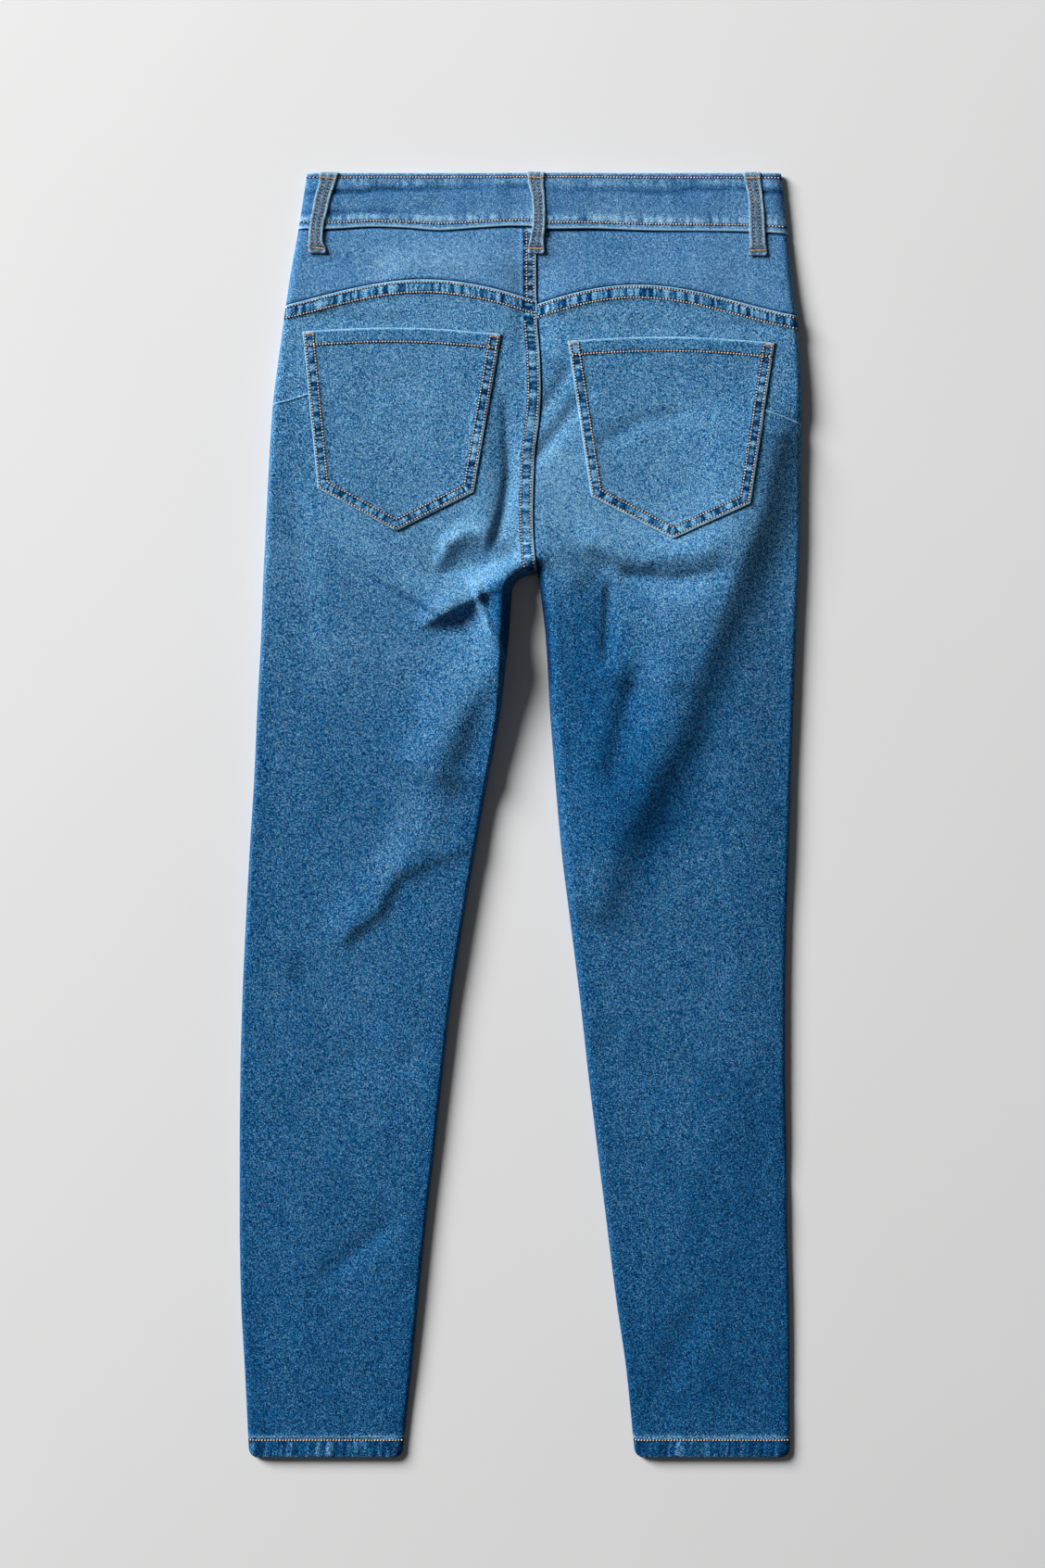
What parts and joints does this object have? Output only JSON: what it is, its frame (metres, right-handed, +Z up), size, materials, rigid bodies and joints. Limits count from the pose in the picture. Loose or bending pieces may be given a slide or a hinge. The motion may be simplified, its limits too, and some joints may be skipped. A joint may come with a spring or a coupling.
{
  "type": "skinny jeans",
  "caption": "Skinny jeans laid flat with the back side up, with waistband, belt loops, back yoke, patch pockets, folded hems and a waist button on the hidden front.",
  "frame": {"origin": "middle of the box round the laid-out jeans, on the table they lie on", "axes": "+Y from the hems to the waist, +Z up from the table, +X across the jeans; the back of the jeans faces +Z"},
  "size_m": [0.425, 0.97, 0.0204],
  "materials": {
    "denim": "washed mid-blue stretch denim twill, faded on the seat, pockets and thighs",
    "brass": "dull brushed brass"
  },
  "bodies": {
    "root": {"back_leg_left": "denim", "back_leg_right": "denim", "front_leg_left": "denim", "front_leg_right": "denim", "back_yoke_left": "denim", "back_yoke_right": "denim", "back_pocket_left": "denim", "back_pocket_right": "denim", "waistband": "denim", "belt_loop_back_left": "denim", "belt_loop_back_centre": "denim", "belt_loop_back_right": "denim", "belt_loop_front_left": "denim", "belt_loop_front_right": "denim", "hem_left": "denim", "hem_right": "denim", "yoke_seam_left": "denim", "yoke_seam_right": "denim", "seat_seam": "denim", "seat_seam_yoke": "denim", "waist_button": "brass"}
  },
  "joints": []
}
